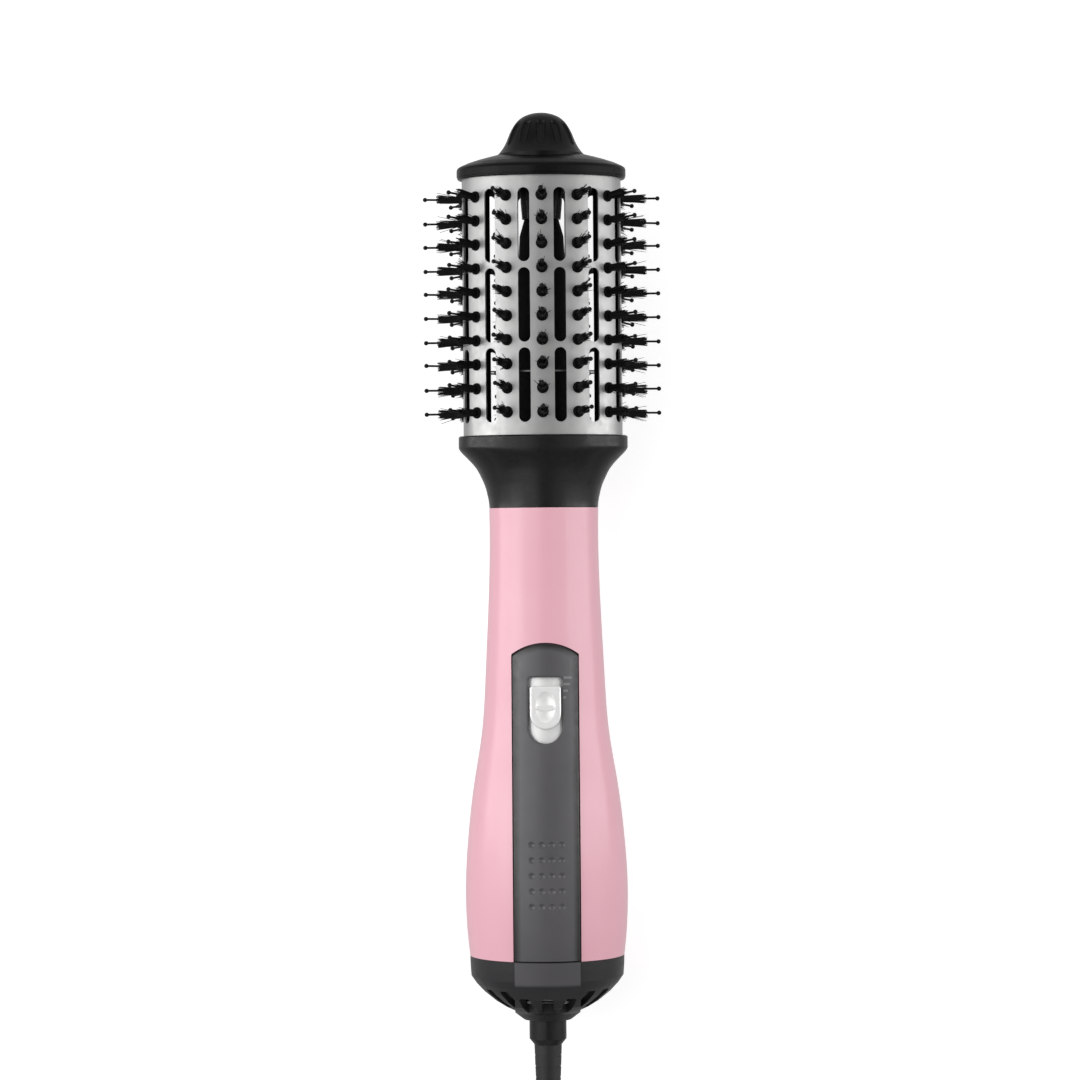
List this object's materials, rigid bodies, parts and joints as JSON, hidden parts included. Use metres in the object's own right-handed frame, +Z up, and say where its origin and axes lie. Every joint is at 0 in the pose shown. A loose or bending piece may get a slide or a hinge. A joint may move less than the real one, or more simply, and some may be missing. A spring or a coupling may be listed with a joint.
{
  "type": "hot air brush",
  "caption": "Corded hot air brush with an oval vented barrel, bristle tufts, round flared handle, thumb slide switch and swivel cord, lying on its back.",
  "frame": {"origin": "centre of the footprint of the brush without its free cord, on the surface it lies on", "axes": "+Z up, switch side up; +Y towards the barrel's tip; +X to the right seen from above"},
  "size_m": [0.1253, 0.5785, 0.0784],
  "materials": {
    "handle_pink": "satin",
    "panel_grey": "satin",
    "black_plastic": "satin",
    "barrel_silver": "satin",
    "bristle_black": "satin",
    "button_silver": "gloss",
    "mica": "matte",
    "heater_wire": "satin",
    "motor_steel": "satin",
    "bush_brass": "satin",
    "screw_steel": "satin",
    "board_green": "satin",
    "duct_plastic": "satin",
    "fan_plastic": "satin",
    "screen_black": "matte",
    "cord_rubber": "matte",
    "tie_plastic": "matte",
    "blade_metal": "satin"
  },
  "bodies": {
    "brush": {"handle_front_shell": "handle_pink", "handle_rear_shell": "handle_pink", "handle_screws": "screw_steel", "switch_panel": "panel_grey", "inlet_end_cap": "panel_grey", "inlet_filter_screen": "screen_black", "neck_collar": "black_plastic", "barrel_tube": "barrel_silver", "barrel_end_cap": "black_plastic", "cool_tip_knob": "black_plastic", "tip_screw": "screw_steel", "air_guide_core": "black_plastic", "carrier_clip_ring": "screw_steel", "heater_frame": "mica", "heater_coil": "heater_wire", "heater_sleeve": "mica", "heater_cutouts": "motor_steel", "motor_duct": "duct_plastic", "motor_can": "motor_steel", "motor_end_bell": "duct_plastic", "shaft_bushes": "bush_brass", "control_board": "board_green", "slide_switch_body": "black_plastic", "swivel_retainer": "black_plastic", "power_cord": "cord_rubber", "cord_coil": "cord_rubber", "cord_tie": "tie_plastic", "plug_body": "cord_rubber", "plug_blades": "blade_metal", "bristle_strip_01": "black_plastic", "bristle_tufts_01": "bristle_black", "bristle_strip_02": "black_plastic", "bristle_tufts_02": "bristle_black", "bristle_strip_03": "black_plastic", "bristle_tufts_03": "bristle_black", "bristle_strip_04": "black_plastic", "bristle_tufts_04": "bristle_black", "bristle_strip_05": "black_plastic", "bristle_tufts_05": "bristle_black", "bristle_strip_06": "black_plastic", "bristle_tufts_06": "bristle_black", "bristle_strip_07": "black_plastic", "bristle_tufts_07": "bristle_black", "bristle_strip_08": "black_plastic", "bristle_tufts_08": "bristle_black", "bristle_strip_09": "black_plastic", "bristle_tufts_09": "bristle_black", "bristle_strip_10": "black_plastic", "bristle_tufts_10": "bristle_black", "bristle_strip_11": "black_plastic", "bristle_tufts_11": "bristle_black", "bristle_strip_12": "black_plastic", "bristle_tufts_12": "bristle_black"},
    "switch_slider": {"switch_button": "button_silver", "switch_slide_plate": "button_silver"},
    "fan_rotor": {"fan_impeller": "fan_plastic", "motor_shaft": "motor_steel", "motor_rotor": "motor_steel"},
    "cord_swivel_body": {"swivel_sleeve": "black_plastic", "strain_relief": "cord_rubber"}
  },
  "joints": [
    {"name": "switch_slide", "type": "slide", "parent": "brush", "child": "switch_slider", "axis": [0, 0.9983, -0.0585], "range_m": [-0.0052, 0.0026]},
    {"name": "fan_spin", "type": "hinge", "parent": "brush", "child": "fan_rotor", "pos_m": [0, -0.10389, 0.03273], "axis": [0, 0.9996, 0.0287], "continuous": true},
    {"name": "cord_swivel", "type": "hinge", "parent": "brush", "child": "cord_swivel_body", "pos_m": [0, -0.16337, 0.03102], "axis": [0, 0.9996, 0.0287], "continuous": true}
  ]
}
